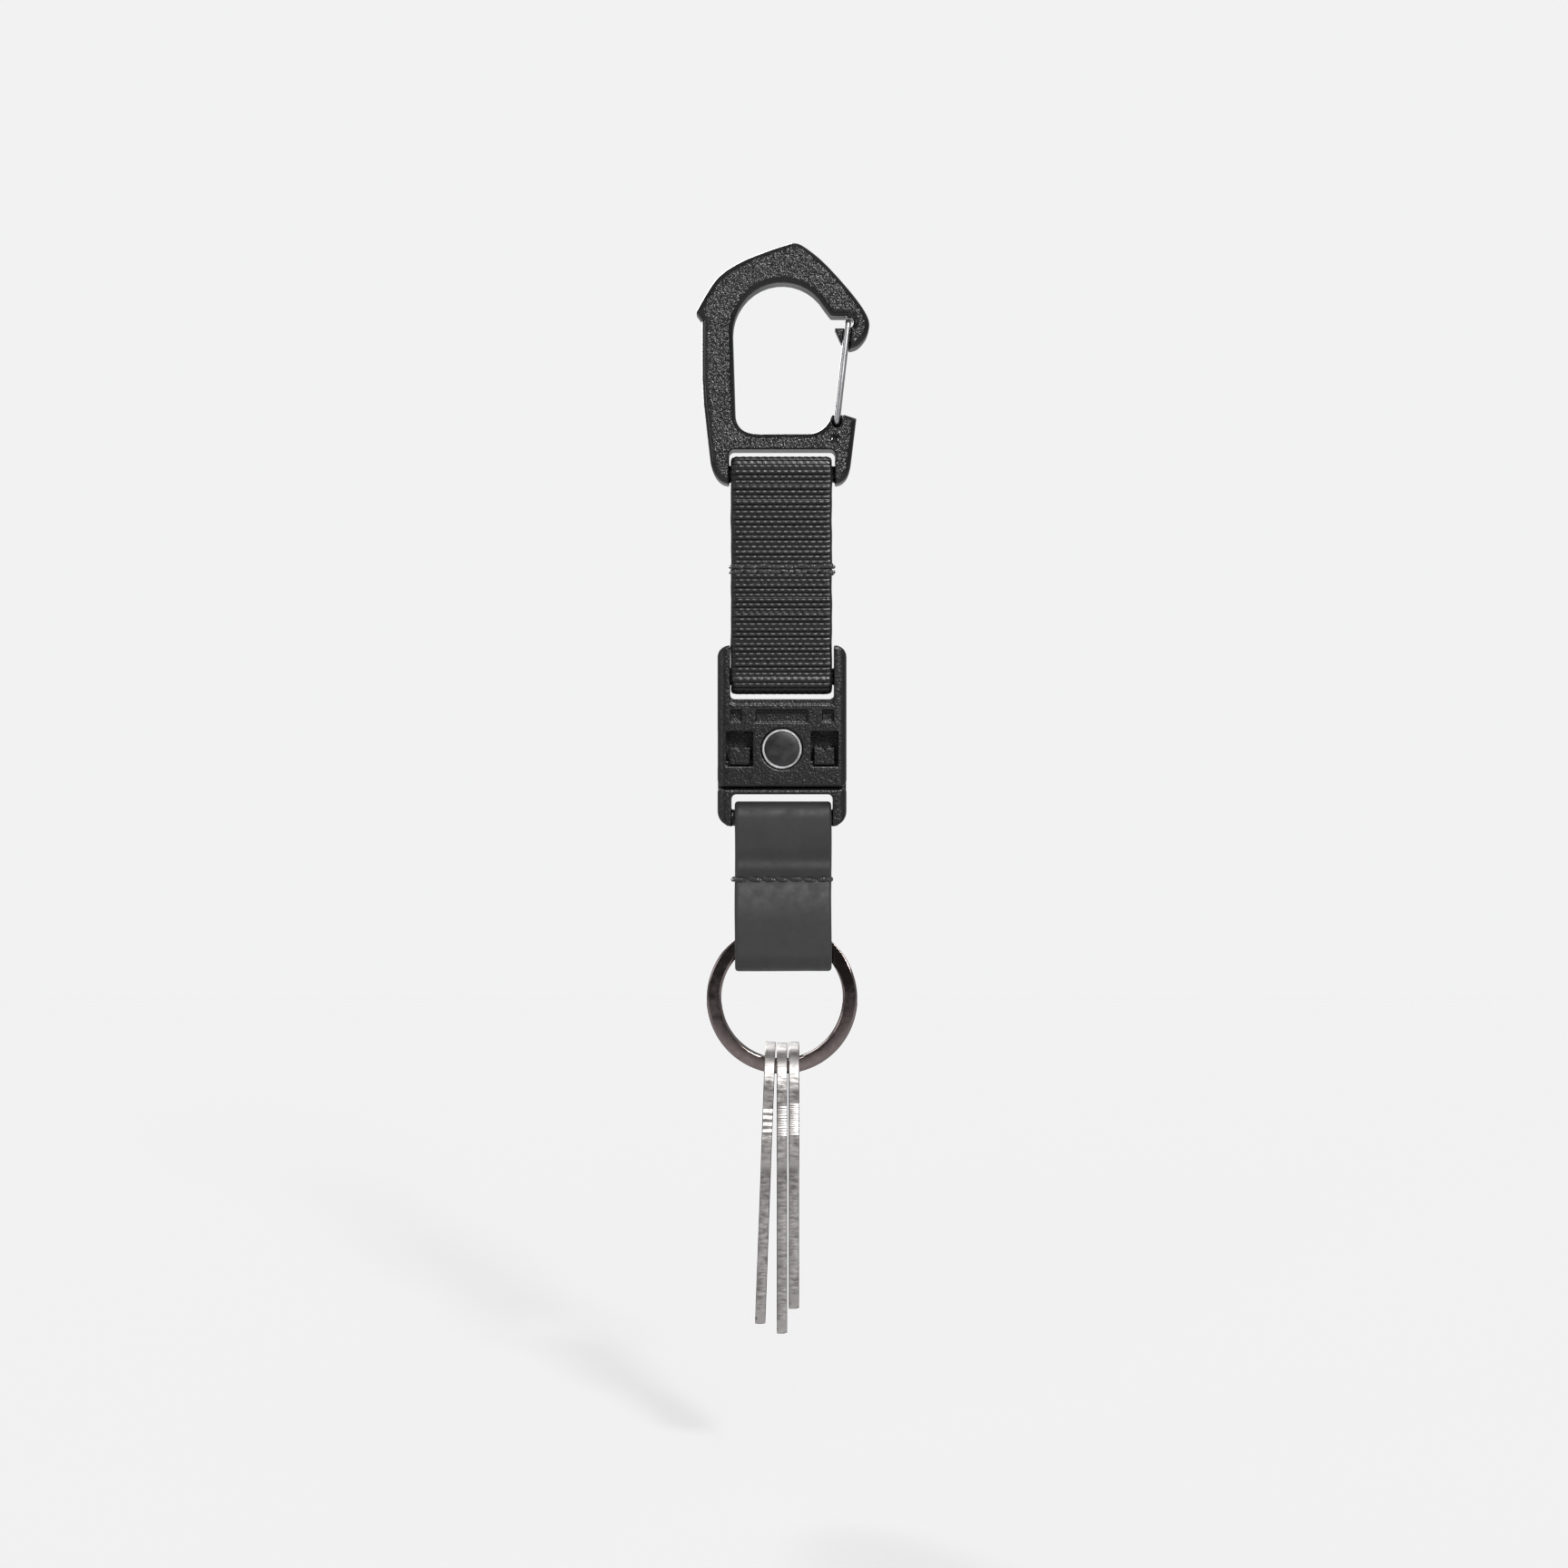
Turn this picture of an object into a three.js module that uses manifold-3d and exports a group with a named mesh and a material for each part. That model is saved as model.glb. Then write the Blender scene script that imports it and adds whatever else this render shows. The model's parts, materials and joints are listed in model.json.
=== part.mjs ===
// Key organiser: a flat carabiner with a wire gate, a sewn webbing loop, a two-part magnetic
// slide buckle, a sewn strap, a split ring and three keys, hanging in one line.
//
// Millimetres. +Z is up along the hanging chain, +X is to the right seen from the front and the
// front faces -Y. The origin is the highest point of the inside of the carabiner's crook, where
// the hook or belt loop that carries it touches.

import * as THREE from 'three';
import { mergeVertices } from 'three/addons/utils/BufferGeometryUtils.js';
import Module from 'manifold-3d';

// ---------------------------------------------------------------- driving dimensions

const GAP = 0.3;                 // clearance between two pieces that touch in use
const FAR = 9;                   // depth beyond every piece, for cuts right through
const SLACK = 0.1;               // a cut's overrun past the face it opens

const body = {                   // carabiner frame
  openingHalf: 9.9,              // half width of the opening
  openingHeight: 30.4,           // crook to base
  sideBand: 6.2,                 // width of the side arm
  crownBand: 8.1,                // height of the crown above the crook
  thickness: 6.5,
  edge: 1.2,                     // rounding round the faces
  baseBand: 3.2,                 // material between opening and webbing slot
  cheekThickness: 3.2,           // nose and jaw where the gate wires pass beside them
  jawRise: 3.9,                  // jaw top above the base
};
const wire = {
  diameter: 1.3,
  bend: 1.1,
  swing: 24,                     // degrees that the gate opens
  notchSpare: 0.45,
  footStep: 3.1,                 // rear foot below the front one
  footEnd: 0.45,                 // where each foot stops short of the middle
  footRise: 1.2,
  sightHole: 0.77,
};
const bar = { radius: 1.7, toSlot: 1.4, toEnd: 2.3 };   // round bars that carry the fabric
const web = { width: 20, ply: 1.3, length: 40.9, seam: 2.8, seamRise: 1.2 };
const thread = { rows: 2, pitch: 0.4, height: 0.45, bight: 0.35 };   // sewn over each seam
const strap = { ply: 1.3, seam: 1.6, upperRun: 12.45, ringSpare: 5.1, ringRoom: 8.5 };
const buckle = {
  armWidth: 2.5,
  armRise: 6.2,                  // arms above the upper bar
  front: -3.6,                   // front face
  back: 3.2,                     // back face
  parting: 0.65,                 // middle of the gap between the two halves
  skin: 1.7,                     // wall in front of the slide channel
  head: 1.5,                     // solid web below the upper slot
  stepDepth: 1.0,                // ledge in front of that web
  slotCorner: 1.0,
  armCorner: 2.4,
  footCorner: 3.2,
  edge: 0.4,
  side: 1.8,                     // rounding of the long sides
  plateLength: 16.2,             // upper half below the head
  pocketDepth: 1.5,
  corner: 1.5,
  lowerWeb: 1.1,                 // solid web above the lower slot
};
const channel = { top: 5.0, height: 7.1 };              // slide channel in the upper half
const ledge = { height: 1.1, thickness: 1.1 };          // rail that the catches hang on
const magnet = { radius: 3.4, cupWall: 0.3, lowerThickness: 1.7 };
const ring = { outer: 30.4, radial: 2.9, turn: 1.25, turnGap: 0.3, chamfer: 0.5, jog: 40 };
const key = {
  thickness: 2.0,
  rim: 2.05,                     // metal above the hole
  bowWidth: 24.5,
  bowLength: 21.25,              // hole to shoulder
  blade: 8.4,                    // width of the blade
  crownHalf: 3.5,                // flat top of the bow
  crownDrop: 9,
  flank: 7,                      // shoulder to the straight side of the bow
  blend: 0.5,
  stop: 1.2,                     // shoulder stop beyond the blade
  lead: 3.5,                     // shoulder to the first cut
  cutTail: 7,                    // blade without cuts, both ends together
  tipLength: 3.3,
};
const keySpacing = { left: 0.5, right: 0.4 };           // air beside the middle key
const keys = [
  { name: 'key_left', side: -1, tilt: 2.1, blade: 31.0, cuts: [1.2, 2.4, 0.8, 1.9, 2.7, 1.4] },
  { name: 'key_middle', side: 0, tilt: 0, blade: 32.7, cuts: [2.2, 0.9, 1.7, 2.6, 1.1, 2.0] },
  { name: 'key_right', side: 1, tilt: 0, blade: 27.9, cuts: [1.6, 2.5, 1.2, 0.8, 2.1] },
];

// ---------------------------------------------------------------- heights down the chain

const webOuter = bar.radius + GAP + web.ply;
const strapOuter = bar.radius + GAP + strap.ply;
const baseTop = -body.openingHeight;
const jawTop = baseTop + body.jawRise;
const slotTop = baseTop - body.baseBand;
const bar1 = slotTop - bar.toSlot - webOuter;
const bar2 = bar1 - web.length;
const headTop = bar2 - webOuter - bar.toSlot + 0.1;
const plateTop = headTop - buckle.head;
const plateEnd = plateTop - buckle.plateLength;
const channelTop = plateTop - channel.top;
const channelEnd = channelTop - channel.height;
const magnetZ = (channelTop + channelEnd) / 2;
const lowerTop = plateEnd - GAP - 0.1;
const lowerSlot = lowerTop - buckle.lowerWeb;
const bar3 = lowerSlot - bar.toSlot - strapOuter;
const ringInner = ring.outer / 2 - ring.radial;
const strapWidth = 2 * ringInner - strap.ringSpare;
const ringDepth = 2 * ring.turn + ring.turnGap;
const eyeHalf = ringDepth / 2 + 2 * GAP;
const strapSeamZ = bar3 - strap.upperRun;
const eyeTop = strapSeamZ - strap.ringRoom;
const ringPathRadius = ring.outer / 2 - ring.radial / 2;
const ringRise = Math.sqrt(ringInner ** 2 - (strapWidth / 2 + GAP) ** 2);
const ringZ = eyeTop - GAP - ring.outer / 2;
const eyeEnd = ringZ + ringRise + eyeHalf - 0.4;
const wireSlope = 0.2;           // how far the ring curves within a key's thickness
const keyHole = Math.hypot(ring.radial / 2, ringDepth / 2 - ring.chamfer) + wireSlope + GAP;
const buckleHalf = Math.max(web.width, strapWidth) / 2 + GAP + 0.2 + buckle.armWidth;
const upperPlateBack = buckle.parting - GAP / 2;
const backPlateFront = buckle.parting + GAP / 2;
const skinBack = buckle.front + buckle.skin;

// ---------------------------------------------------------------- solids

const wasm = await Module();
wasm.setup();

function solid(geometry) {
  const bare = geometry.index ? geometry.toNonIndexed() : geometry.clone();
  bare.deleteAttribute('normal');
  bare.deleteAttribute('uv');
  const merged = mergeVertices(bare, 1e-4);
  const corners = merged.index.array;
  const kept = [];
  for (let i = 0; i < corners.length; i += 3) {
    const [a, b, c] = [corners[i], corners[i + 1], corners[i + 2]];
    if (a !== b && b !== c && c !== a) kept.push(a, b, c);
  }
  const vertProperties = new Float32Array(merged.attributes.position.array);
  const triVerts = new Uint32Array(kept);
  return new wasm.Manifold(new wasm.Mesh({ numProp: 3, vertProperties, triVerts }));
}

function geometryOf(manifold) {
  const mesh = manifold.getMesh();
  const geometry = new THREE.BufferGeometry();
  geometry.setAttribute('position', new THREE.BufferAttribute(mesh.vertProperties, 3));
  geometry.setIndex(new THREE.BufferAttribute(mesh.triVerts, 1));
  geometry.computeVertexNormals();
  return geometry;
}

function extrude(shape, depth, edge = 0, segments = 8, rounds = 1) {
  return new THREE.ExtrudeGeometry(shape, {
    depth: depth - 2 * edge,
    bevelEnabled: edge > 0,
    bevelThickness: edge,
    bevelSize: edge,
    bevelOffset: -edge,
    bevelSegments: rounds,
    curveSegments: segments,
  }).translate(0, 0, edge);
}

// A plate whose outline is drawn in X and Z, between two depths.
function plate(shape, front, back, edge = 0, segments = 8, rounds = 1) {
  const geometry = extrude(shape, back - front, edge, segments, rounds);
  return solid(geometry.rotateX(Math.PI / 2).translate(0, back, 0));
}

// A piece whose profile is drawn in Y and Z, between two places along X.
function profile(shape, left, right, edge = 0, segments = 8) {
  const turn = new THREE.Matrix4().set(0, 0, 1, 0, 1, 0, 0, 0, 0, 1, 0, 0, 0, 0, 0, 1);
  const geometry = extrude(shape, right - left, edge, segments).applyMatrix4(turn);
  return solid(geometry.translate(left, 0, 0));
}

function box(x0, x1, y0, y1, z0, z1) {
  const geometry = new THREE.BoxGeometry(x1 - x0, y1 - y0, z1 - z0);
  return solid(geometry.translate((x0 + x1) / 2, (y0 + y1) / 2, (z0 + z1) / 2));
}

function pinAlongX(radius, x0, x1, z, sides = 24) {
  const geometry = new THREE.CylinderGeometry(radius, radius, x1 - x0, sides).rotateZ(Math.PI / 2);
  return solid(geometry.translate((x0 + x1) / 2, 0, z));
}

function discAlongY(radius, x, z, y0, y1, sides = 24) {
  const geometry = new THREE.CylinderGeometry(radius, radius, y1 - y0, sides);
  return solid(geometry.translate(x, (y0 + y1) / 2, z));
}

function roundedRectangle(x0, x1, z0, z1, low, high = low) {
  const shape = new THREE.Shape();
  shape.moveTo(x0 + low, z0);
  shape.lineTo(x1 - low, z0);
  shape.absarc(x1 - low, z0 + low, low, -Math.PI / 2, 0);
  shape.lineTo(x1, z1 - high);
  shape.absarc(x1 - high, z1 - high, high, 0, Math.PI / 2);
  shape.lineTo(x0 + high, z1);
  shape.absarc(x0 + high, z1 - high, high, Math.PI / 2, Math.PI);
  shape.lineTo(x0, z0 + low);
  shape.absarc(x0 + low, z0 + low, low, Math.PI, 1.5 * Math.PI);
  return shape;
}

// A slot right through, with rounded corners, for the fabric.
function slotCut(half, z0, z1) {
  return plate(roundedRectangle(-half, half, z0, z1, buckle.slotCorner), -FAR, FAR, 0, 4);
}

// A closed tube through rings of points, with flat ends.
function loft(rings) {
  const count = rings[0].length;
  const points = rings.flat();
  const faces = [];
  for (let r = 0; r < rings.length - 1; r += 1) {
    for (let k = 0; k < count; k += 1) {
      const a = r * count + k;
      const b = r * count + (k + 1) % count;
      faces.push(a, b, b + count, a, b + count, a + count);
    }
  }
  const last = (rings.length - 1) * count;
  for (let k = 1; k < count - 1; k += 1) {
    faces.push(0, k + 1, k, last, last + k, last + k + 1);
  }
  const geometry = new THREE.BufferGeometry().setFromPoints(points);
  geometry.setIndex(faces);
  return solid(geometry);
}

// Straight runs through the points, joined by round bends.
function bentPath(points, bend) {
  const path = new THREE.CurvePath();
  let from = points[0];
  for (let i = 1; i < points.length - 1; i += 1) {
    const corner = points[i];
    const before = corner.clone().lerp(from, Math.min(1, bend / corner.distanceTo(from)));
    const after = corner.clone().lerp(points[i + 1], bend / corner.distanceTo(points[i + 1]));
    path.add(new THREE.LineCurve3(from, before));
    path.add(new THREE.QuadraticBezierCurve3(before, corner, after));
    from = after;
  }
  path.add(new THREE.LineCurve3(from, points[points.length - 1]));
  return path;
}

// A round wire along a path, its section carried along without twist.
function wireAlong(path, radius, sides = 10) {
  const places = [];
  for (const curve of path.curves) {
    const steps = curve.isLineCurve3 ? 1 : 5;
    for (let i = 0; i < steps; i += 1) {
      places.push([curve.getPoint(i / steps), curve.getTangent(i / steps)]);
    }
  }
  const end = path.curves[path.curves.length - 1];
  places.push([end.getPoint(1), end.getTangent(1)]);
  let side = new THREE.Vector3(1, 0, 0);
  const rings = places.map(([at, along]) => {
    side = side.addScaledVector(along, -side.dot(along)).normalize();
    const up = new THREE.Vector3().crossVectors(along, side);
    const section = [];
    for (let k = 0; k < sides; k += 1) {
      const angle = (2 * Math.PI * k) / sides;
      const point = at.clone().addScaledVector(side, radius * Math.cos(angle));
      section.push(point.addScaledVector(up, radius * Math.sin(angle)));
    }
    return section;
  });
  return loft(rings);
}

const group = new THREE.Group();

function add(name, manifold, colour, roughness, metalness = 0) {
  const material = new THREE.MeshStandardMaterial({ color: colour, roughness, metalness });
  const mesh = new THREE.Mesh(geometryOf(manifold), material);
  mesh.name = name;
  group.add(mesh);
  return mesh;
}

// ---------------------------------------------------------------- carabiner and gate

const jawX = body.openingHalf + 1.1;         // gate pivot
const pivotZ = jawTop - 1.8;
const rearFoot = new THREE.Vector2(jawX - 0.3, pivotZ - wire.footStep);
const notchX = body.openingHalf + 3.4;       // gate crossbar, closed
const notchZ = -7.9;
const cheek = body.cheekThickness / 2;
const legY = cheek + GAP + wire.diameter / 2;
const wireRadius = wire.diameter / 2;

function carabinerOutline() {
  const inner = body.openingHalf;
  const outer = inner + body.sideBand;
  const top = body.crownBand;
  const notchHalf = wireRadius + wire.notchSpare;
  const shape = new THREE.Shape();
  shape.moveTo(-outer - 1.3, -5.9);
  shape.splineThru([
    new THREE.Vector2(-inner - 3.5, 0.6),
    new THREE.Vector2(-inner + 0.9, top - 4.2),
    new THREE.Vector2(-3.1, top - 1.7),
    new THREE.Vector2(2.2, top),
  ]);
  shape.splineThru([
    new THREE.Vector2(4.2, top - 0.6),
    new THREE.Vector2(inner - 1.3, top - 4.1),
    new THREE.Vector2(outer - 1.6, -2.6),
    new THREE.Vector2(outer + 1.3, -7.2),
    new THREE.Vector2(outer + 1.1, -10.3),
    new THREE.Vector2(outer - 0.6, -12.6),
    new THREE.Vector2(notchX + 0.3, -13.4),
  ]);
  shape.lineTo(notchX - 1.4, -11.9);
  shape.lineTo(notchX - 2.7, notchZ - notchHalf);
  shape.lineTo(notchX + 0.3, notchZ - notchHalf);
  shape.absarc(notchX, notchZ, notchHalf, -Math.PI / 4, Math.PI / 2);
  shape.lineTo(inner, notchZ + notchHalf);
  const start = Math.acos(Math.min(1, (inner - 1.5) / inner));
  shape.absellipse(0, -10.3, inner, 10.3, start, Math.PI);
  shape.lineTo(-inner + 0.5, baseTop + 4.1);
  shape.quadraticCurveTo(-inner + 0.6, baseTop, -inner + 5.1, baseTop);
  shape.lineTo(inner - 5.1, baseTop);
  shape.quadraticCurveTo(inner - 1.3, baseTop, inner + 0.2, jawTop);
  shape.lineTo(outer - 3.6, jawTop);
  shape.lineTo(outer - 1.1, jawTop - 0.8);
  shape.lineTo(outer - 2.2, bar1 + 2.0);
  shape.quadraticCurveTo(outer - 2.7, bar1 - bar.toEnd, outer - 5.6, bar1 - bar.toEnd);
  shape.lineTo(-outer + 5.6, bar1 - bar.toEnd);
  shape.quadraticCurveTo(-outer + 2.7, bar1 - bar.toEnd, -outer + 1.7, bar1 + 2.0);
  shape.lineTo(-outer + 0.3, baseTop + 6.2);
  shape.lineTo(-outer, baseTop + 11.3);
  shape.lineTo(-outer, -7.7);
  return shape;
}

// The sector that a leg sweeps beside its foot, cut into one face of the jaw.
function legRecess(foot, front, back) {
  const clear = wireRadius + GAP;
  const reach = jawTop + 3 - foot.y;
  const lean = (notchX - foot.x) / (notchZ - foot.y);
  const swing = Math.tan((wire.swing * Math.PI) / 180) - lean;
  const shape = new THREE.Shape();
  shape.moveTo(foot.x - clear, foot.y);
  shape.absarc(foot.x, foot.y, clear, Math.PI, 2 * Math.PI);
  shape.lineTo(foot.x + clear + lean * reach + 0.2, foot.y + reach);
  shape.lineTo(foot.x - clear - swing * reach - 0.4, foot.y + reach);
  return plate(shape, front, back);
}

function carabinerBody() {
  const half = body.thickness / 2;
  const slotHalf = web.width / 2 + GAP + 0.4;
  let made = plate(carabinerOutline(), -half, half, body.edge, 8, 3);
  made = made.subtract(slotCut(slotHalf, bar1 - 9, slotTop));
  made = made.add(pinAlongX(bar.radius, -slotHalf - 1, slotHalf + 1, bar1));
  // Faces cut back beside the nose, where the gate wires pass.
  const noseTop = notchZ + wireRadius + wire.notchSpare + 0.1;
  const noseEnd = -16;
  const legClear = wireRadius + GAP + 0.1;
  const legLean = (notchX - jawX) / (notchZ - pivotZ);
  const cheekCut = new THREE.Shape();
  cheekCut.moveTo(0, noseTop);
  cheekCut.lineTo(0, noseEnd);
  cheekCut.lineTo(notchX + legClear + legLean * (noseEnd - notchZ), noseEnd);
  cheekCut.lineTo(notchX + legClear, notchZ);
  cheekCut.quadraticCurveTo(notchX + legClear, noseTop, notchX, noseTop);
  for (const [from, to] of [[-FAR, -cheek], [cheek, FAR]]) {
    made = made.subtract(plate(cheekCut, from, to));
  }
  // Recess and pivot hole of the front leg.
  const pivot = new THREE.Vector2(jawX, pivotZ);
  const footEnd = 0.2;
  made = made.subtract(legRecess(pivot, -FAR, -cheek));
  made = made.subtract(discAlongY(wireRadius + GAP, jawX, pivotZ, -FAR, -footEnd));
  // Recess of the rear leg, with room for its foot to travel round the pivot.
  made = made.subtract(legRecess(rearFoot, cheek, FAR));
  const travel = Math.sin((wire.swing * Math.PI) / 180) * wire.footStep;
  for (const share of [0, 0.35, 0.7, 1]) {
    const x = rearFoot.x + travel * share;
    const lift = 0.45 * share;
    made = made.subtract(discAlongY(wireRadius + GAP, x, rearFoot.y + lift, footEnd, FAR));
    made = made.subtract(discAlongY(wireRadius + GAP, x, rearFoot.y + lift + wire.footRise, cheek, FAR));
  }
  made = made.subtract(discAlongY(wire.sightHole, rearFoot.x, rearFoot.y, -FAR, footEnd + SLACK, 16));
  return made;
}

function wireGate() {
  const { footEnd } = wire;
  const path = bentPath([
    new THREE.Vector3(jawX, -footEnd, pivotZ),
    new THREE.Vector3(jawX, -legY, pivotZ),
    new THREE.Vector3(notchX, -legY, notchZ),
    new THREE.Vector3(notchX, legY, notchZ),
    new THREE.Vector3(rearFoot.x, legY, rearFoot.y),
    new THREE.Vector3(rearFoot.x, footEnd, rearFoot.y),
  ], wire.bend);
  return wireAlong(path, wireRadius);
}

add('carabiner_body', carabinerBody(), 0x1b1b1d, 0.55);
add('wire_gate', wireGate(), 0x9a9da1, 0.3, 1);

// ---------------------------------------------------------------- webbing and strap

// Outline round a bar that narrows to a tip, drawn in Y and Z. The tip lies above the bar or
// below it; the round end is the half circle on the far side, at the height called to.
function eyeOutline(from, to, radius, tip, halfTip) {
  const towards = Math.sign(tip - from);
  const lean = Math.atan2(radius - halfTip, Math.abs(tip - from));
  const shoulder = towards * radius * Math.cos(lean);
  const shoulderZ = from + towards * radius * Math.sin(lean);
  const side = towards * radius;
  const start = towards > 0 ? 0 : Math.PI;
  const shape = new THREE.Shape();
  shape.moveTo(towards * halfTip, tip);
  shape.lineTo(shoulder, shoulderZ);
  shape.lineTo(side, to);
  shape.absarc(0, to, radius, start, Math.PI - start, true);
  shape.lineTo(-side, from);
  shape.lineTo(-shoulder, shoulderZ);
  shape.lineTo(-towards * halfTip, tip);
  return shape;
}

// Two plies sewn together at the seam, each end passing round a bar.
function sewnLoop(width, ply, upper, lower, seamTop, seamEnd) {
  const half = width / 2;
  const middle = (seamTop + seamEnd) / 2;
  const sliver = 0.08;
  let made = profile(eyeOutline(upper.from, upper.to, upper.radius + ply, middle, ply), -half, half);
  made = made.add(profile(
    eyeOutline(lower.from, lower.to, lower.radius + ply, middle, ply), -half, half));
  const past = half + 1;
  made = made.subtract(profile(
    eyeOutline(upper.from, upper.to, upper.radius, seamTop, sliver), -past, past));
  return made.subtract(profile(
    eyeOutline(lower.from, lower.to, lower.radius, seamEnd, sliver), -past, past));
}

// Thread over both plies: a closed band round the seam.
function threadBand(width, ply, z) {
  const half = width / 2 + GAP + thread.bight;
  const outer = ply + GAP + thread.height;
  const reach = (thread.rows * thread.pitch) / 2;
  const made = box(-half, half, -outer, outer, z - reach, z + reach);
  const inside = half - thread.bight;
  const hollow = box(-inside, inside, -ply - GAP, ply + GAP, z - FAR, z + FAR);
  return made.subtract(hollow);
}

const loopEnd = { radius: bar.radius + GAP };
const webSeamZ = (bar1 + bar2) / 2 + web.seamRise;
add('webbing_loop', sewnLoop(
  web.width, web.ply,
  { from: bar1, to: bar1, ...loopEnd },
  { from: bar2, to: bar2, ...loopEnd },
  webSeamZ + web.seam / 2, webSeamZ - web.seam / 2), 0x161617, 0.9);
add('webbing_stitch', threadBand(web.width, web.ply, webSeamZ), 0x1c1c1e, 0.8);

add('strap_loop', sewnLoop(
  strapWidth, strap.ply,
  { from: bar3, to: bar3, ...loopEnd },
  { from: eyeTop, to: eyeEnd, radius: eyeHalf },
  strapSeamZ + strap.seam / 2, strapSeamZ - strap.seam / 2), 0x2b2c2f, 0.6);
add('strap_stitch', threadBand(strapWidth, strap.ply, strapSeamZ), 0x202124, 0.8);

// ---------------------------------------------------------------- buckle, upper half

// The outer shape that both halves share, with rounded long sides.
function buckleEnvelope() {
  const { front, back, side } = buckle;
  const section = roundedRectangle(-buckleHalf, buckleHalf, front, back, side);
  const top = bar2 + buckle.armRise + 1;
  const end = bar3 - bar.radius - 1;
  return solid(extrude(section, top - end, 0, 5).translate(0, 0, end));
}

function upperBody() {
  const { front, back, corner, edge } = buckle;
  const slotHalf = web.width / 2 + GAP + 0.2;
  const top = bar2 + buckle.armRise;
  const half = buckleHalf;
  const head = roundedRectangle(-half, half, plateTop, top, corner, buckle.armCorner);
  const skinPlate = roundedRectangle(-half, half, plateEnd, plateTop + 4, corner);
  let made = plate(head, front, back, edge, 6);
  made = made.add(plate(skinPlate, front, upperPlateBack, edge, 6));
  made = made.intersect(buckleEnvelope());
  made = made.subtract(slotCut(slotHalf, headTop, top + 5));
  const step = roundedRectangle(-slotHalf, slotHalf, headTop - 1.1, headTop + 3, 0.8);
  made = made.subtract(plate(step, front - 1, front + buckle.stepDepth, 0, 4));
  made = made.add(pinAlongX(bar.radius, -slotHalf - 1, slotHalf + 1, bar2));
  // Slide channel, open at the left and stopped at the right, with the ledge left at its
  // lower rear edge.
  const past = buckleHalf + 1;
  const stop = buckleHalf - 1.7;
  made = made.subtract(box(-past, stop, skinBack, FAR, channelEnd + ledge.height, channelTop));
  made = made.subtract(box(
    -past, stop, skinBack, upperPlateBack - ledge.thickness, channelEnd, channelTop));
  // Windows that show the catches.
  const windowInner = magnet.radius + magnet.cupWall + 2 * GAP + 1.5;
  for (const side of [-1, 1]) {
    const near = side * windowInner;
    const far = side * (buckleHalf - 1.7);
    const [x0, x1] = [Math.min(near, far), Math.max(near, far)];
    made = made.subtract(box(x0, x1, front - 1, skinBack + 0.1, channelEnd, channelTop));
    const pocketNear = side * (buckleHalf - 4.9);
    const pocketFar = side * (buckleHalf - 2.6);
    const [p0, p1] = [Math.min(pocketNear, pocketFar), Math.max(pocketNear, pocketFar)];
    made = made.subtract(box(
      p0, p1, front - 1, front + buckle.pocketDepth, plateTop - 3.0, plateTop - 0.7));
  }
  made = made.subtract(box(
    -5.3, 5.3, front - 1, front + buckle.pocketDepth, plateTop - 3.3, plateTop - 0.7));
  const bore = magnet.radius + magnet.cupWall + 2 * GAP;
  return made.subtract(discAlongY(bore, 0, magnetZ, front - 1, skinBack + 0.1, 32));
}

function magnetCup() {
  const outer = magnet.radius + magnet.cupWall + GAP;
  const cup = discAlongY(outer, 0, magnetZ, buckle.front + 0.1, skinBack - 0.05, 32);
  const inner = magnet.radius + GAP;
  return cup.subtract(discAlongY(inner, 0, magnetZ, buckle.front - 1, skinBack - 0.45, 32));
}

function upperMagnet() {
  return discAlongY(magnet.radius, 0, magnetZ, buckle.front + 0.35, skinBack - 0.75, 32);
}

add('buckle_upper_body', upperBody(), 0x141416, 0.45);
add('buckle_upper_magnet_cup', magnetCup(), 0xb9bbbd, 0.25, 1);
add('buckle_upper_magnet', upperMagnet(), 0x2a2a2c, 0.4, 1);

// ---------------------------------------------------------------- buckle, lower half

function lowerBody() {
  const { front, back, corner, edge, footCorner } = buckle;
  const slotHalf = strapWidth / 2 + GAP + 0.2;
  const end = bar3 - bar.radius - 0.1;
  const backTop = plateTop - GAP - 1.0;
  const block = roundedRectangle(-buckleHalf, buckleHalf, end, lowerTop, footCorner, 0.6);
  const backPlate = roundedRectangle(-buckleHalf, buckleHalf, lowerTop - 3, backTop, corner);
  let made = plate(block, front, back, edge, 6);
  made = made.add(plate(backPlate, backPlateFront, back, edge, 6));
  made = made.intersect(buckleEnvelope());
  made = made.subtract(slotCut(slotHalf, end - 5, lowerSlot));
  made = made.add(pinAlongX(bar.radius, -slotHalf - 1, slotHalf + 1, bar3));
  // Catches: a stem through the channel with a lip that hangs behind the ledge.
  const stemEnd = channelEnd + ledge.height + GAP + 0.1;
  const lipBack = upperPlateBack - ledge.thickness - GAP;
  const catchFront = skinBack + GAP;
  for (const side of [-1, 1]) {
    const near = side * (buckleHalf - 6.6);
    const far = side * (buckleHalf - 2.4);
    const [x0, x1] = [Math.min(near, far), Math.max(near, far)];
    const stem = box(x0, x1, catchFront, backPlateFront + 0.5, stemEnd, stemEnd + 2.3);
    const lip = box(x0, x1, catchFront, lipBack, channelEnd + GAP, stemEnd + 1);
    const middle = (x0 + x1) / 2;
    const notch = new THREE.Shape();
    notch.moveTo(middle - 0.8, stemEnd + 2.4);
    notch.lineTo(middle, stemEnd + 1.6);
    notch.lineTo(middle + 0.8, stemEnd + 2.4);
    made = made.add(stem.add(lip).subtract(plate(notch, catchFront - 1, backPlateFront)));
  }
  const seat = magnet.radius + magnet.cupWall + GAP;
  return made.subtract(discAlongY(
    seat, 0, magnetZ, backPlateFront - 1, backPlateFront + magnet.lowerThickness + GAP, 32));
}

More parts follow.
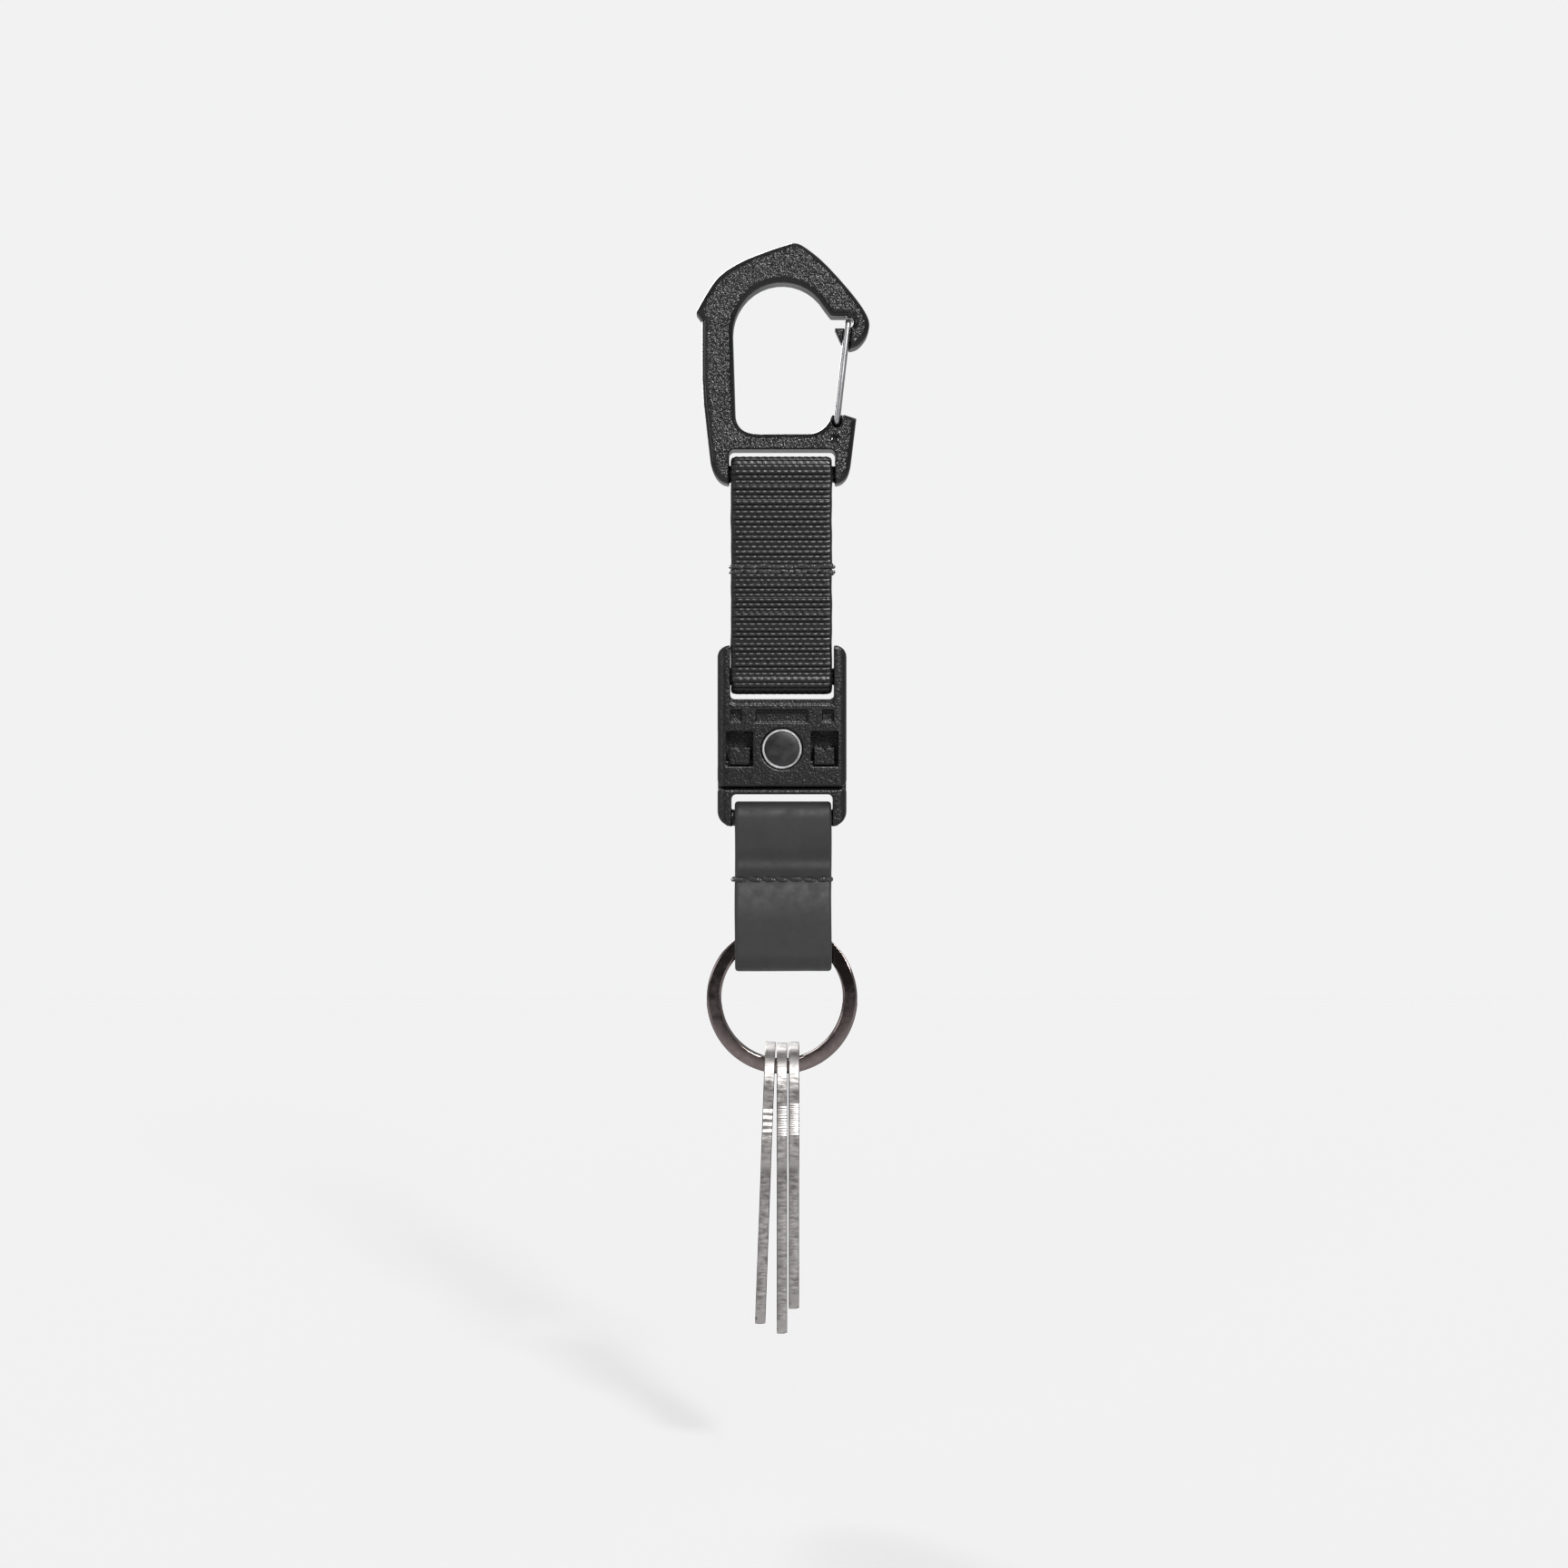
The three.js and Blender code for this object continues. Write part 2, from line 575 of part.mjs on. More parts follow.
function lowerMagnet() {
  const radius = magnet.radius + magnet.cupWall;
  const from = backPlateFront + 0.05;
  return discAlongY(radius, 0, magnetZ, from, from + magnet.lowerThickness - 0.05, 32);
}

add('buckle_lower_body', lowerBody(), 0x151517, 0.45);
add('buckle_lower_magnet', lowerMagnet(), 0x8f9194, 0.3, 1);

// ---------------------------------------------------------------- split ring

// Two flat turns of wire lying on each other, joined where the wire steps across.
function splitRing() {
  const step = (ring.turn + ring.turnGap) / 2;
  const r = ring.radial / 2;
  const t = ring.turn / 2;
  const c = ring.chamfer;
  const outline = [
    [r, -t + c], [r, t], [-r, t], [-r, -t + c], [-r + c, -t], [r - c, -t],
  ];
  const start = 30 + ring.jog / 2;
  const sweep = 720 - ring.jog;
  const steps = 128;
  const rings = [];
  for (let i = 0; i <= steps; i += 1) {
    const along = (sweep * i) / steps;
    const middle = sweep / 2;
    const share = THREE.MathUtils.clamp((along - middle) / ring.jog + 0.5, 0, 1);
    const blend = share * share * (3 - 2 * share);
    const offset = step * (2 * blend - 1);
    const angle = THREE.MathUtils.degToRad(start + along);
    rings.push(outline.map(([out, across]) => {
      const radius = ringPathRadius + out;
      return new THREE.Vector3(
        radius * Math.cos(angle), offset + across, ringZ + radius * Math.sin(angle));
    }));
  }
  return loft(rings);
}

add('split_ring', splitRing(), 0x6f655c, 0.25, 1);

// ---------------------------------------------------------------- keys

// A flat key seen from the side: Y across, Z down from its hole at the origin. Its cuts face
// back, and its plain edge faces the front.
function keyBlank({ blade, cuts }) {
  const bowHalf = key.bowWidth / 2;
  const top = keyHole + key.rim;
  const shoulder = -key.bowLength;
  const tip = shoulder - blade;
  const half = key.blade / 2;
  const { crownHalf, crownDrop, flank, blend, lead, cutTail, tipLength } = key;
  const shape = new THREE.Shape();
  shape.moveTo(-half, shoulder);
  shape.quadraticCurveTo(-bowHalf, shoulder + blend, -bowHalf, shoulder + flank);
  shape.lineTo(-bowHalf, top - crownDrop);
  shape.quadraticCurveTo(-bowHalf + blend, top, -crownHalf, top);
  shape.lineTo(crownHalf, top);
  shape.quadraticCurveTo(bowHalf - blend, top, bowHalf, top - crownDrop);
  shape.lineTo(bowHalf, shoulder + flank);
  shape.quadraticCurveTo(bowHalf, shoulder + blend, half + key.stop, shoulder);
  shape.lineTo(half, shoulder - 1.5);
  const pitch = (blade - cutTail) / cuts.length;
  cuts.forEach((depth, i) => {
    const z = shoulder - lead - pitch * i;
    shape.lineTo(half, z);
    shape.lineTo(half - depth, z - pitch * 0.35);
    shape.lineTo(half - depth, z - pitch * 0.65);
  });
  shape.lineTo(half - 0.6, tip + tipLength);
  shape.lineTo(0.6, tip);
  shape.lineTo(-0.8, tip);
  shape.lineTo(-half, tip + tipLength);
  const hole = new THREE.Path();
  hole.absarc(0, 0, keyHole, 0, 2 * Math.PI, false);
  shape.holes.push(hole);
  return shape;
}

for (const one of keys) {
  const air = one.side < 0 ? keySpacing.left : keySpacing.right;
  const x = one.side * (key.thickness + air);
  const wireDrop = Math.sqrt(ringPathRadius ** 2 - x ** 2);
  const blank = profile(keyBlank(one), -key.thickness / 2, key.thickness / 2, 0, 6);
  const mesh = add(one.name, blank, 0xb4b1a8, 0.3, 1);
  mesh.position.set(x, 0, ringZ - wireDrop);
  mesh.rotation.y = THREE.MathUtils.degToRad(one.tilt);
}

export default group;
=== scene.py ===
"""Key organiser: carabiner, webbing, magnetic buckle, strap, split ring and keys, hanging in one line."""

import json
import math
import random

import bmesh
import bpy
import numpy as np
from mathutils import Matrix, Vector


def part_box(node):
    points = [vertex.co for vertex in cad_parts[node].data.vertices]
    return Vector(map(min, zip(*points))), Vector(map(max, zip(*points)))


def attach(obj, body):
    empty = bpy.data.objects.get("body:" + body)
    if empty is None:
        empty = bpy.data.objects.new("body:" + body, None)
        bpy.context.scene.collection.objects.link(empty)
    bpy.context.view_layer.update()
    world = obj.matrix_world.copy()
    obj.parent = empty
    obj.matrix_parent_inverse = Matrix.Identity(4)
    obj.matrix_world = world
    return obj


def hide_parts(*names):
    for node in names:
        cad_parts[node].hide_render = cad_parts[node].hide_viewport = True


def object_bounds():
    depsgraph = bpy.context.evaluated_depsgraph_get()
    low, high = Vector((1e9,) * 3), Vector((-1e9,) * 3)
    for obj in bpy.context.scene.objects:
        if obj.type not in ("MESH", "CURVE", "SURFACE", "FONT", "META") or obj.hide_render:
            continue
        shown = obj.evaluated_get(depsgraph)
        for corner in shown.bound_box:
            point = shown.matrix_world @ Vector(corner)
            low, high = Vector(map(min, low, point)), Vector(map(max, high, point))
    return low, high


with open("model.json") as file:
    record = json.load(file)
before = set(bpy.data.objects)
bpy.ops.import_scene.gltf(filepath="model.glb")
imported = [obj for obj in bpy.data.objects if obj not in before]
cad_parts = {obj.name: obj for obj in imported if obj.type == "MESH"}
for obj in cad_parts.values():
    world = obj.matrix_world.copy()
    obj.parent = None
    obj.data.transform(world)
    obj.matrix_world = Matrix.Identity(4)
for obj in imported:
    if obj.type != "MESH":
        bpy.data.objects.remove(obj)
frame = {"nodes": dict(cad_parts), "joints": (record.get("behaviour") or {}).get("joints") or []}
cad_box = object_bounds()

MM = 0.001
BACKGROUND = (0.887, 0.887, 0.893)          # what the camera sees behind the object
STUDIO_LIGHT = (0.33, 0.33, 0.335)          # the soft light that reaches it from all round
PIN = 0.02 * MM                             # the pinhole left on the axis of a turned piece


# ------------------------------------------------------------------ meshes

class Shell:
    """Collects grids of points as the faces of one mesh, for a piece that is one or more solids."""

    def __init__(self):
        self.points, self.faces = [], []

    def grid(self, rows, wrap_rows=False, caps=True):
        """rows is (n, k, 3), each row a closed loop; the rows join in order, or in a ring."""
        rows = np.asarray(rows, float)
        n, k = rows.shape[:2]
        start = len(self.points)
        self.points += rows.reshape(-1, 3).tolist()
        for i in range(n if wrap_rows else n - 1):
            a, b = start + i * k, start + ((i + 1) % n) * k
            for j in range(k):
                j2 = (j + 1) % k
                self.faces.append((a + j, a + j2, b + j2, b + j))
        if caps and not wrap_rows:
            self.faces.append(tuple(start + j for j in reversed(range(k))))
            self.faces.append(tuple(start + (n - 1) * k + j for j in range(k)))

    def tube(self, path, radius, sides=10, squash=1.0):
        """A round strand along path, tapering where radius is a list."""
        path = np.asarray(path, float)
        along = np.gradient(path, axis=0)
        along /= np.linalg.norm(along, axis=1)[:, None]
        radius = np.broadcast_to(radius, (len(path),))
        side = np.cross(along[0], (0.31, 0.53, 0.79))
        turn = np.arange(sides) * 2 * math.pi / sides
        rows = []
        for at, way, r in zip(path, along, radius):
            side = side - way * side.dot(way)
            side /= np.linalg.norm(side)
            up = np.cross(way, side)
            rows.append([at + r * (side * math.cos(t) + squash * up * math.sin(t)) for t in turn])
        self.grid(rows)

    def piece(self, name, body, node, slot, material, weighted=False):
        mesh = bpy.data.meshes.new(name)
        mesh.from_pydata(self.points, [], self.faces)
        return finished(name, mesh, body, node, material, weighted=weighted)


def finished(name, mesh, body, node, material, smooth_angle=40, weighted=False):
    """Links a mesh as a piece of the object, with outward faces and soft shading."""
    work = bmesh.new()
    work.from_mesh(mesh)
    bmesh.ops.recalc_face_normals(work, faces=work.faces)
    work.to_mesh(mesh)
    work.free()
    piece = bpy.data.objects.new(name, mesh)
    bpy.context.scene.collection.objects.link(piece)
    mesh.materials.clear()
    mesh.materials.append(material)
    mesh.shade_smooth()
    mesh.set_sharp_from_angle(angle=math.radians(smooth_angle))
    if weighted:
        weights = piece.modifiers.new("flat_faces", "WEIGHTED_NORMAL")
        weights.keep_sharp = True
    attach(piece, body)
    if node:
        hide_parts(node)
    return piece


def baked(piece):
    """The mesh of a piece with its modifiers applied."""
    graph = bpy.context.evaluated_depsgraph_get()
    return bpy.data.meshes.new_from_object(piece.evaluated_get(graph))


def moulded(name, node, body, material, voxel, passes):
    """A CAD solid with every edge softened, as it comes out of a mould."""
    rough = bpy.data.objects.new("rough_" + name, frame["nodes"][node].data.copy())
    bpy.context.scene.collection.objects.link(rough)
    work = bmesh.new()
    work.from_mesh(rough.data)
    bmesh.ops.remove_doubles(work, verts=work.verts, dist=1e-7)
    work.to_mesh(rough.data)
    work.free()
    remesh = rough.modifiers.new("remesh", "REMESH")
    remesh.mode = "VOXEL"
    remesh.voxel_size = voxel
    smooth = rough.modifiers.new("smooth", "SMOOTH")
    smooth.factor = 0.5
    smooth.iterations = passes
    mesh = baked(rough)
    bpy.data.objects.remove(rough)
    return finished(name, mesh, body, node, material, smooth_angle=60)


# ------------------------------------------------------------------ materials

class Finish:
    """A node material, with short ways to add the textures that vary its surface."""

    def __init__(self, name, **sockets):
        self.material = bpy.data.materials.new(name)
        self.material.use_nodes = True
        self.tree = self.material.node_tree
        self.shader = self.tree.nodes["Principled BSDF"]
        for key, value in sockets.items():
            self.shader.inputs[key.replace("_", " ")].default_value = value
        self.where = self.node("ShaderNodeTexCoord").outputs["Object"]

    def node(self, kind, **values):
        made = self.tree.nodes.new(kind)
        for key, value in values.items():
            setattr(made, key, value)
        return made

    def link(self, source, target):
        self.tree.links.new(source, target)

    def stretched(self, scale):
        """Object coordinates in metres, scaled along each axis."""
        mapping = self.node("ShaderNodeMapping")
        self.link(self.where, mapping.inputs["Vector"])
        mapping.inputs["Scale"].default_value = scale
        return mapping.outputs["Vector"]

    def noise(self, scale, detail=3.0, roughness=0.55, stretch=(1, 1, 1)):
        noise = self.node("ShaderNodeTexNoise")
        self.link(self.stretched(stretch), noise.inputs["Vector"])
        noise.inputs["Scale"].default_value = scale
        noise.inputs["Detail"].default_value = detail
        noise.inputs["Roughness"].default_value = roughness
        return noise.outputs["Fac"]

    def cells(self, scale):
        cells = self.node("ShaderNodeTexVoronoi", feature="F1")
        self.link(self.stretched((1, 1, 1)), cells.inputs["Vector"])
        cells.inputs["Scale"].default_value = scale
        return cells.outputs["Distance"]

    def range(self, source, low, high, from_low=0.3, from_high=0.7):
        """The source's values between the last two numbers, spread from low to high."""
        ranged = self.node("ShaderNodeMapRange")
        self.link(source, ranged.inputs["Value"])
        for key, value in (("From Min", from_low), ("From Max", from_high),
                           ("To Min", low), ("To Max", high)):
            ranged.inputs[key].default_value = value
        return ranged.outputs["Result"]

    def math(self, operation, first, second):
        made = self.node("ShaderNodeMath", operation=operation)
        for socket, value in zip(made.inputs, (first, second)):
            if isinstance(value, (int, float)):
                socket.default_value = value
            else:
                self.link(value, socket)
        return made.outputs[0]

    def colours(self, source, stops):
        """The base colour, from stops of (place in the source's values, colour)."""
        ramp = self.node("ShaderNodeValToRGB")
        elements = ramp.color_ramp.elements
        while len(elements) < len(stops):
            elements.new(0.5)
        for element, (place, colour) in zip(elements, stops):
            element.position = place
            element.color = (*colour, 1)
        self.link(source, ramp.inputs["Fac"])
        self.link(ramp.outputs["Color"], self.shader.inputs["Base Color"])

    def roughness(self, source, low, high):
        self.link(self.range(source, low, high), self.shader.inputs["Roughness"])

    def bump(self, *layers):
        """Each layer is (height source, depth in metres, strength)."""
        normal = None
        for source, depth, strength in layers:
            bump = self.node("ShaderNodeBump")
            bump.inputs["Distance"].default_value = depth
            bump.inputs["Strength"].default_value = strength
            self.link(source, bump.inputs["Height"])
            if normal:
                self.link(normal, bump.inputs["Normal"])
            normal = bump.outputs["Normal"]
        self.link(normal, self.shader.inputs["Normal"])

    def painted_edge_highlights(self, shade):
        """Convex edges that face up, painted paler than the colour already set: a painted highlight where
        light from above catches them.
        """
        sharpness = self.node("ShaderNodeNewGeometry").outputs["Pointiness"]
        pointed = self.range(sharpness, 0.0, 1.0, 0.508, 0.54)
        split = self.node("ShaderNodeSeparateXYZ")
        self.link(self.node("ShaderNodeTexCoord").outputs["Normal"], split.inputs[0])
        upward = self.range(split.outputs["Z"], 0.0, 1.0, 0.15, 0.6)
        mix = self.node("ShaderNodeMixRGB")
        mix.inputs["Color2"].default_value = (shade, shade, shade, 1)
        self.link(self.math("MULTIPLY", pointed, upward), mix.inputs["Fac"])
        self.link(self.shader.inputs["Base Color"].links[0].from_socket, mix.inputs["Color1"])
        self.link(mix.outputs["Color"], self.shader.inputs["Base Color"])

    def facing(self, axis, low, high):
        """0 to 1 as a surface turns to face plus or minus an axis of the object."""
        split = self.node("ShaderNodeSeparateXYZ")
        self.link(self.node("ShaderNodeTexCoord").outputs["Normal"], split.inputs[0])
        size = self.math("ABSOLUTE", split.outputs[axis], 0.0)
        return self.range(size, 0.0, 1.0, low, high)


def grained_polymer(name, shade, grain, depth, gloss, faces_only):
    """Moulded polymer with a coarse leathery grain, on every side or only on its front and back."""
    finish = Finish(name, Roughness=0.45)
    broad = finish.noise(180, detail=2)
    finish.colours(broad, [(0.35, (shade * 0.8,) * 3), (0.65, (shade * 1.2, shade * 1.2, shade * 1.25))])
    # painted highlight along the convex edges that face up
    finish.painted_edge_highlights(0.11)
    coarse = finish.noise(grain, detail=2, roughness=0.5)
    if faces_only:
        coarse = finish.math("MULTIPLY", coarse, finish.facing("Y", 0.9, 0.995))
    fine = finish.noise(grain * 4, detail=2)
    finish.roughness(finish.noise(grain * 0.7), *gloss)
    finish.bump((coarse, depth, 1.0), (fine, 0.01 * MM, 0.5))
    return finish.material


def webbing_fabric():
    """Black nylon yarn with a dull shine."""
    finish = Finish("black_webbing", Sheen_Weight=0.06, Sheen_Roughness=0.4, Specular_IOR_Level=0.5)
    yarn = finish.noise(2600, detail=3, stretch=(1.0, 0.35, 0.35))
    finish.colours(yarn, [(0.3, (0.002, 0.002, 0.002)), (0.75, (0.007, 0.007, 0.0073))])
    finish.roughness(finish.noise(900), 0.3, 0.48)
    finish.bump((yarn, 0.08 * MM, 0.8))
    return finish.material


def thread():
    """Black sewing thread, a little paler than the webbing."""
    finish = Finish("black_thread", Sheen_Weight=0.2, Specular_IOR_Level=0.6)
    fibre = finish.noise(4200, detail=2)
    finish.colours(fibre, [(0.3, (0.008, 0.008, 0.009)), (0.7, (0.03, 0.03, 0.032))])
    finish.roughness(fibre, 0.3, 0.6)
    finish.bump((fibre, 0.04 * MM, 0.6))
    return finish.material


def coated_strap():
    """Charcoal strap with a matt, faintly mottled coating."""
    finish = Finish("coated_strap", Specular_IOR_Level=0.4, Sheen_Weight=0.12, Sheen_Roughness=0.6)
    mottle = finish.noise(160, detail=5, roughness=0.65)
    finish.colours(mottle, [(0.3, (0.019, 0.019, 0.0195)), (0.7, (0.027, 0.027, 0.028))])
    finish.roughness(finish.noise(420), 0.5, 0.72)
    pores = finish.cells(3800)
    finish.bump((mottle, 0.05 * MM, 0.5), (pores, 0.02 * MM, 0.35))
    return finish.material


def metal(name, dark, light, rough, scratch=0.02, stretch=(1, 1, 0.08), scale=1500):
    """Bare metal, clouded between two colours; scratch is the depth of its marks in millimetres."""
    finish = Finish(name, Metallic=1.0)
    wear = finish.noise(260, detail=5)
    finish.colours(wear, [(0.3, dark), (0.7, light)])
    lines = finish.noise(scale, detail=3, stretch=stretch)
    finish.roughness(lines, *rough)
    finish.bump((lines, scratch * MM, 0.5))
    return finish.material


def key_metal():
    """Nickel plate, smooth on the flats and file-marked on the edges that face front and back."""
    finish = Finish("key_nickel", Metallic=1.0)
    marks = finish.noise(1700, detail=3, stretch=(0.3, 1, 1))
    edge = finish.facing("Y", 0.7, 0.95)
    broad = finish.range(finish.noise(130, detail=5), 0.5, 0.62)
    cut = finish.math("MULTIPLY", edge, finish.range(marks, -0.34, 0.22))
    plate = [(0.22, (0.2, 0.188, 0.18)), (0.7, (0.6, 0.575, 0.56))]
    finish.colours(finish.math("ADD", broad, cut), plate)
    brushed = finish.noise(900, detail=3, stretch=(1, 1, 0.1))
    finish.roughness(brushed, 0.32, 0.5)
    finish.bump((brushed, 0.012 * MM, 0.5), (finish.math("MULTIPLY", edge, marks), 0.16 * MM, 0.6))
    return finish.material


# ------------------------------------------------------------------ fabric bands

def band(name, body, node, slot, material, path, width, ply, relief, across):
    """A fabric band along a closed path of (y, z) points; relief(u, x) lifts its outer face."""
    path = np.asarray(path)
    along = np.roll(path, -1, 0) - np.roll(path, 1, 0)
    along /= np.linalg.norm(along, axis=1)[:, None]
    out = np.stack([along[:, 1], -along[:, 0]], 1)
    if (out * (path - path.mean(0))).sum() < 0:
        out = -out
    run = np.concatenate([[0], np.cumsum(np.linalg.norm(np.diff(path, axis=0), axis=1))])
    half, r = width / 2, ply / 2
    xs = np.linspace(-half + r, half - r, across)
    turn = np.linspace(math.pi / 2, -math.pi / 2, 7)[1:-1]
    inner_xs = np.linspace(half - r, -half + r, max(8, across // 4))
    x = np.concatenate([xs, half - r + r * np.cos(turn), inner_xs, -half + r - r * np.cos(turn)])
    lift = np.concatenate([
        np.full(len(xs), r), r * np.sin(turn), np.full(len(inner_xs), -r), -r * np.sin(turn)])
    outer = np.concatenate([
        np.ones(len(xs)), (np.sin(turn) + 1) / 2, np.zeros(len(inner_xs)), (1 - np.sin(turn)) / 2])
    u, xx = np.meshgrid(run, x, indexing="ij")
    raised, shift = relief(u, xx)
    height = lift[None, :] + outer[None, :] * raised
    rows = np.empty((len(path), len(x), 3))
    rows[:, :, 0] = xx + shift
    rows[:, :, 1] = path[:, 0, None] + out[:, 0, None] * height
    rows[:, :, 2] = path[:, 1, None] + out[:, 1, None] * height
    shell = Shell()
    shell.grid(rows, wrap_rows=True)
    return shell.piece(name, body, node, slot, material)


def resampled(points, step):
    """A closed path cut into even steps."""
    points = np.asarray(points)
    closed = np.vstack([points, points[:1]])
    run = np.concatenate([[0], np.cumsum(np.linalg.norm(np.diff(closed, axis=0), axis=1))])
    count = int(run[-1] / step)
    places = np.arange(count) * run[-1] / count
    return np.stack([np.interp(places, run, closed[:, i]) for i in (0, 1)], 1)


def loop_path(top, bottom, radius, seam, pinch, lower_run=0.0):
    """The middle of a band round two bars, its two plies pinched together at the seam."""
    def side(y_sign, ends):
        start, end = ends
        steps = np.linspace(0, 1, 40)
        spread = [pinch + (radius - pinch) * math.sin(math.pi / 2 * t) for t in steps]
        return [(y_sign * y, z) for y, z in zip(spread, start + (end - start) * steps)]

    straight = bottom + lower_run
    up_front = side(-1, (seam, top))
    over = [(-radius * math.cos(a), top + radius * math.sin(a)) for a in np.linspace(0, math.pi, 30)[1:-1]]
    down_back = side(1, (seam, top))[::-1]
    to_lower = side(1, (seam, straight))[1:]
    under = [(radius * math.cos(a), bottom - radius * math.sin(a)) for a in np.linspace(0, math.pi, 30)]
    up_lower = side(-1, (seam, straight))[::-1][:-1]
    return up_front + over + down_back + to_lower + under + up_lower


def webbing(sewing):
    """The ribbed loop between carabiner and buckle."""
    low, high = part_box("webbing_loop")
    stitch_low, stitch_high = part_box("webbing_stitch")
    seam = (stitch_low.z + stitch_high.z) / 2
    ply = 1.3 * MM
    radius = (high.y - low.y) / 2
    path = loop_path(high.z - radius, low.z + radius, radius - ply / 2, seam, ply / 2)
    path = resampled(path, 0.13 * MM)
    rib, yarn, selvage = 1.0 * MM, 1.4 * MM, 0.9 * MM
    width = (high.x - low.x) + 0.4 * MM

    def ribs(u, x):
        """A hump for each rib of the weave, with yarns that shift half a pitch from row to row."""
        row = np.floor(u / rib)
        phase = u / rib - row
        hump = np.sqrt(np.clip(1 - (2 * phase - 1) ** 2, 0, 1))
        wander = 0.25 * np.sin(row * 12.9898) + 0.15 * np.sin(x / (3.1 * MM) + row)
        yarns = x / yarn + 0.5 * (row % 2) + 0.45 * (phase - 0.5) + wander * 0.4
        twist = 0.5 + 0.5 * np.cos(2 * math.pi * yarns)
        height = -0.1 * MM + hump ** 1.5 * (0.36 + 0.08 * twist) * MM
        edge = np.abs(x) > width / 2 - selvage
        height = np.where(edge, height * 0.7, height)
        shift = -0.13 * MM + 0.04 * MM * np.sin(u / (2.3 * MM)) + 0.03 * MM * np.sin(u / (0.9 * MM) + x)
        return height, shift

    fabric = webbing_fabric()
    band("webbing", "webbing", "webbing_loop", "black_webbing", fabric, path, width, ply, ribs, 125)
    stitches("webbing_thread", "webbing", "webbing_stitch", sewing, seam, width, ply + 0.14 * MM,
             count=8, rows=(0.55, -0.5), seed=4)


def stitches(name, body, node, sewing, z, width, surface, count, rows, seed):
    """Thick twisted thread over both faces of a seam, with a bight round each edge."""
    draw = random.Random(seed)
    shell = Shell()
    pitch = width / count
    strand = 0.26 * MM
    sunk, rise, twists = 0.35 * MM, 0.52 * MM, 2.2
    for row in rows:
        for face in (-1, 1):
            for i in range(count):
                start = -width / 2 + pitch * (i + 0.1)
                end = start + pitch * (0.75 + 0.2 * draw.random())
                lean = (draw.random() - 0.5) * 0.7 * MM
                level = z + row * MM + (draw.random() - 0.5) * 0.3 * MM
                for half in (0, math.pi):
                    path = []
                    for t in np.linspace(0, 1, 22):
                        arch = math.sin(math.pi * t) ** 0.5
                        turn = half + t * 2 * math.pi * twists
                        depth = surface - sunk + rise * arch + 0.5 * strand * math.cos(turn)
                        height = level + lean * (t - 0.5) + 0.75 * strand * math.sin(turn)
                        path.append((start + (end - start) * t, face * depth, height))
                    shell.tube(path, strand * 1.05, sides=8)
    for edge in (-1, 1):
        for row in rows:
            path = []
            for a in np.linspace(-1.9, 1.9, 26):
                across = width / 2 - 0.5 * MM + 0.85 * MM * math.cos(a)
                depth = (surface + 0.1 * MM) * math.sin(a)
                path.append((edge * across, depth, z + row * MM + 0.25 * MM * math.sin(2 * a)))
            shell.tube(path, strand, sides=10)
    return shell.piece(name, body, node, "black_thread", sewing)


def strap(sewing):
    """The coated loop between buckle and ring, one seam across it."""
    low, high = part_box("strap_loop")
    stitch_low, stitch_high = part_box("strap_stitch")
    seam = (stitch_low.z + stitch_high.z) / 2
    ply = 1.3 * MM
    radius = (high.y - low.y) / 2
    run = (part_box("split_ring")[1].z + 0.3 * MM) - (low.z + radius)
    path = loop_path(high.z - radius, low.z + radius, radius - ply / 2, seam, ply / 2, run)
    step = 0.35 * MM
    path = resampled(path, step)
    width = high.x - low.x
    zs = path[:, 1]

    def surface(u, x):
        """A ridge and a dip above the seam, a groove along it, and slight waves all over."""
        z = np.interp(u, np.arange(len(zs)) * step, zs)
        height = 0.3 * MM * np.exp(-((z - seam - 2.3 * MM) / (0.9 * MM)) ** 2)
        height -= 0.35 * MM * np.exp(-((z - seam - 4.3 * MM) / (1.2 * MM)) ** 2)
        height -= 0.22 * MM * np.exp(-((z - seam) / (0.7 * MM)) ** 2)
        height += 0.03 * MM * np.sin(x / (4.2 * MM)) * np.sin(u / (5.1 * MM))
        return height, 0.22 * MM + 0.05 * MM * np.sin(u / (4.0 * MM))

    band("strap", "strap", "strap_loop", "coated_strap", coated_strap(), path, width, ply, surface, 60)
    stitches("strap_thread", "strap", "strap_stitch", sewing, seam, width, ply - 0.02 * MM,
             count=7, rows=(0.0,), seed=9)


# ------------------------------------------------------------------ metal pieces

